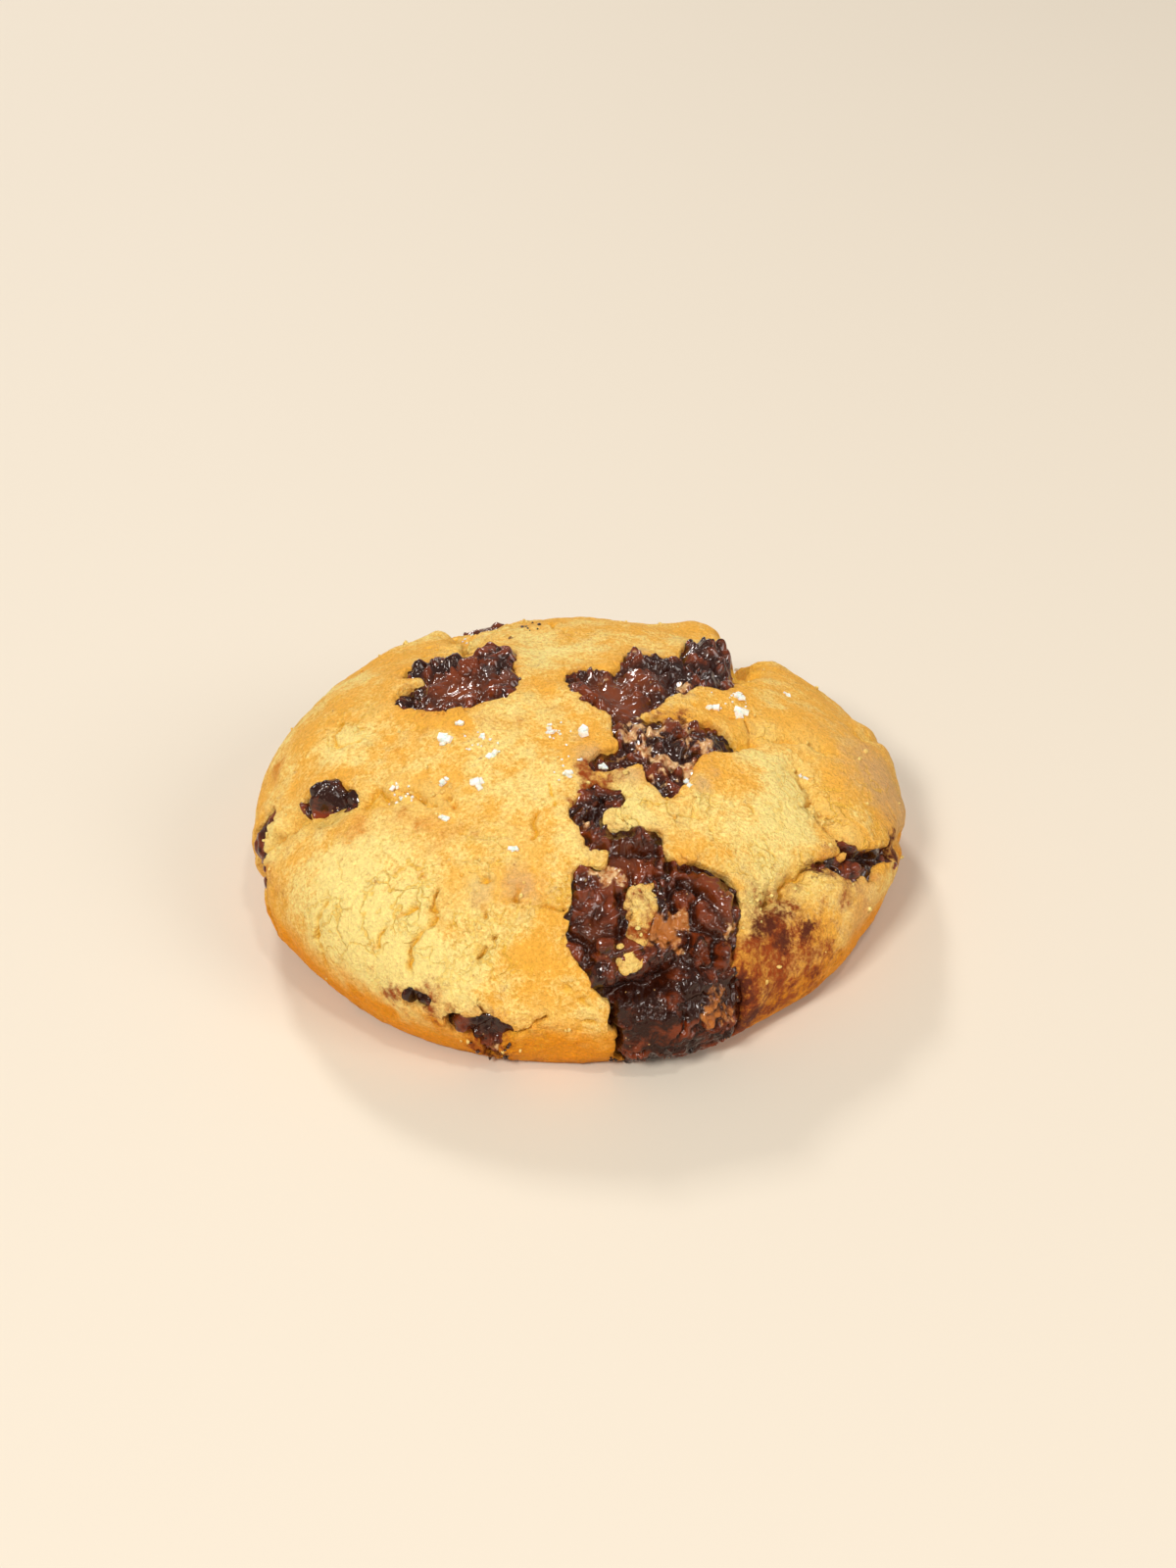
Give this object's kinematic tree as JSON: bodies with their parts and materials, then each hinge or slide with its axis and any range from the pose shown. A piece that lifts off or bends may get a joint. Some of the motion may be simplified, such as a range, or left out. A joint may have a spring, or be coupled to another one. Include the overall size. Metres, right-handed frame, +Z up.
{
  "type": "chocolate cookie",
  "caption": "Thick round bakery cookie with a domed pale crust, pools of melted chocolate and flakes of salt, lying flat on its base.",
  "frame": {"origin": "centre of the flat base, on the surface the cookie lies on", "axes": "+Z up out of the crust, -Y towards the side with the large chocolate pool that runs down to the base, +X to the right seen from there"},
  "size_m": [0.0867, 0.0849, 0.0298],
  "materials": {
    "dough": "matt, crumbly baked crust, pale gold with browner patches",
    "chocolate": "glossy melted and set chocolate, crinkled",
    "salt": "white, slightly see-through flakes"
  },
  "bodies": {
    "root": {"cookie_dough": "dough", "chocolate_back_left": "chocolate", "chocolate_back_right": "chocolate", "chocolate_middle": "chocolate", "chocolate_centre": "chocolate", "chocolate_front": "chocolate", "chocolate_left": "chocolate", "chocolate_left_edge": "chocolate", "chocolate_right": "chocolate", "chocolate_front_low": "chocolate", "chocolate_speck": "chocolate", "chocolate_rear_left": "chocolate", "chocolate_rear_right": "chocolate", "chocolate_rear_low": "chocolate"}
  },
  "joints": []
}
